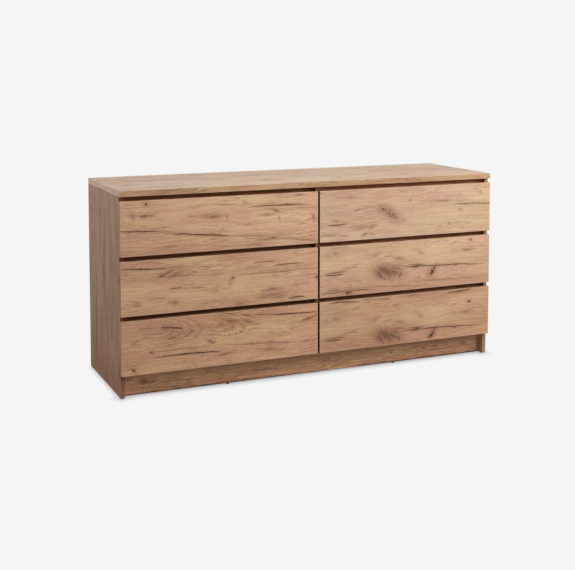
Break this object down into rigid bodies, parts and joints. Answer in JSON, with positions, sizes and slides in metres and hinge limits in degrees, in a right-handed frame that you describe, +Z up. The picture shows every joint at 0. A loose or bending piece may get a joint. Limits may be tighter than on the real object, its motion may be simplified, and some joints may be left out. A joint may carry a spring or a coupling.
{
  "type": "chest of drawers",
  "caption": "Wide low chest of drawers in two columns, with flat handle-less fronts, recessed finger gaps and plinth, and ball-bearing runners.",
  "frame": {"origin": "on the floor, at the centre of the footprint", "axes": "+Z up, +X to the right along the width, -Y towards the person who opens the drawers"},
  "size_m": [1.6, 0.5, 0.78],
  "materials": {
    "oak_laminate": "matt laminate with a knotty oak decor and fine embossed grain",
    "drawer_laminate": "matt warm grey laminate with a fine linen texture",
    "hardboard": "bare brown hardboard, smooth and slightly mottled",
    "runner_steel": "zinc-plated rolled steel",
    "cage_steel": "bright rolled strip with polished balls",
    "cam_zinc": "die-cast zinc, dull",
    "glide_plastic": "black moulded nylon"
  },
  "bodies": {
    "cabinet": {"top_panel": "oak_laminate", "side_panel_left": "oak_laminate", "side_panel_right": "oak_laminate", "centre_panel": "oak_laminate", "bottom_panel": "oak_laminate", "plinth": "oak_laminate", "base_brace": "oak_laminate", "back_panel_left": "hardboard", "back_panel_right": "hardboard", "top_rail_left": "oak_laminate", "top_rail_right": "oak_laminate", "upper_rail_left": "oak_laminate", "upper_rail_right": "oak_laminate", "lower_rail_left": "oak_laminate", "lower_rail_right": "oak_laminate", "cabinet_runners": "runner_steel", "cam_fasteners": "cam_zinc", "glides": "glide_plastic"},
    "top_left_drawer": {"top_left_front": "oak_laminate", "top_left_box_left_side": "drawer_laminate", "top_left_box_right_side": "drawer_laminate", "top_left_box_back": "drawer_laminate", "top_left_box_bottom": "drawer_laminate", "top_left_box_runners": "runner_steel"},
    "top_left_cages": {"top_left_ball_cages": "cage_steel"},
    "top_right_drawer": {"top_right_front": "oak_laminate", "top_right_box_left_side": "drawer_laminate", "top_right_box_right_side": "drawer_laminate", "top_right_box_back": "drawer_laminate", "top_right_box_bottom": "drawer_laminate", "top_right_box_runners": "runner_steel"},
    "top_right_cages": {"top_right_ball_cages": "cage_steel"},
    "middle_left_drawer": {"middle_left_front": "oak_laminate", "middle_left_box_left_side": "drawer_laminate", "middle_left_box_right_side": "drawer_laminate", "middle_left_box_back": "drawer_laminate", "middle_left_box_bottom": "drawer_laminate", "middle_left_box_runners": "runner_steel"},
    "middle_left_cages": {"middle_left_ball_cages": "cage_steel"},
    "middle_right_drawer": {"middle_right_front": "oak_laminate", "middle_right_box_left_side": "drawer_laminate", "middle_right_box_right_side": "drawer_laminate", "middle_right_box_back": "drawer_laminate", "middle_right_box_bottom": "drawer_laminate", "middle_right_box_runners": "runner_steel"},
    "middle_right_cages": {"middle_right_ball_cages": "cage_steel"},
    "bottom_left_drawer": {"bottom_left_front": "oak_laminate", "bottom_left_box_left_side": "drawer_laminate", "bottom_left_box_right_side": "drawer_laminate", "bottom_left_box_back": "drawer_laminate", "bottom_left_box_bottom": "drawer_laminate", "bottom_left_box_runners": "runner_steel"},
    "bottom_left_cages": {"bottom_left_ball_cages": "cage_steel"},
    "bottom_right_drawer": {"bottom_right_front": "oak_laminate", "bottom_right_box_left_side": "drawer_laminate", "bottom_right_box_right_side": "drawer_laminate", "bottom_right_box_back": "drawer_laminate", "bottom_right_box_bottom": "drawer_laminate", "bottom_right_box_runners": "runner_steel"},
    "bottom_right_cages": {"bottom_right_ball_cages": "cage_steel"}
  },
  "joints": [
    {"name": "top_left_slide", "type": "slide", "parent": "cabinet", "child": "top_left_drawer", "axis": [0, -1, 0], "range_m": [0, 0.33]},
    {"name": "top_left_cage_slide", "type": "slide", "parent": "cabinet", "child": "top_left_cages", "axis": [0, -1, 0], "range_m": [0, 0.165]},
    {"name": "top_right_slide", "type": "slide", "parent": "cabinet", "child": "top_right_drawer", "axis": [0, -1, 0], "range_m": [0, 0.33]},
    {"name": "top_right_cage_slide", "type": "slide", "parent": "cabinet", "child": "top_right_cages", "axis": [0, -1, 0], "range_m": [0, 0.165]},
    {"name": "middle_left_slide", "type": "slide", "parent": "cabinet", "child": "middle_left_drawer", "axis": [0, -1, 0], "range_m": [0, 0.33]},
    {"name": "middle_left_cage_slide", "type": "slide", "parent": "cabinet", "child": "middle_left_cages", "axis": [0, -1, 0], "range_m": [0, 0.165]},
    {"name": "middle_right_slide", "type": "slide", "parent": "cabinet", "child": "middle_right_drawer", "axis": [0, -1, 0], "range_m": [0, 0.33]},
    {"name": "middle_right_cage_slide", "type": "slide", "parent": "cabinet", "child": "middle_right_cages", "axis": [0, -1, 0], "range_m": [0, 0.165]},
    {"name": "bottom_left_slide", "type": "slide", "parent": "cabinet", "child": "bottom_left_drawer", "axis": [0, -1, 0], "range_m": [0, 0.33]},
    {"name": "bottom_left_cage_slide", "type": "slide", "parent": "cabinet", "child": "bottom_left_cages", "axis": [0, -1, 0], "range_m": [0, 0.165]},
    {"name": "bottom_right_slide", "type": "slide", "parent": "cabinet", "child": "bottom_right_drawer", "axis": [0, -1, 0], "range_m": [0, 0.33]},
    {"name": "bottom_right_cage_slide", "type": "slide", "parent": "cabinet", "child": "bottom_right_cages", "axis": [0, -1, 0], "range_m": [0, 0.165]}
  ],
  "couplings": [
    {"joint": "top_left_cage_slide", "follows": "top_left_slide", "ratio": 0.5},
    {"joint": "top_right_cage_slide", "follows": "top_right_slide", "ratio": 0.5},
    {"joint": "middle_left_cage_slide", "follows": "middle_left_slide", "ratio": 0.5},
    {"joint": "middle_right_cage_slide", "follows": "middle_right_slide", "ratio": 0.5},
    {"joint": "bottom_left_cage_slide", "follows": "bottom_left_slide", "ratio": 0.5},
    {"joint": "bottom_right_cage_slide", "follows": "bottom_right_slide", "ratio": 0.5}
  ]
}
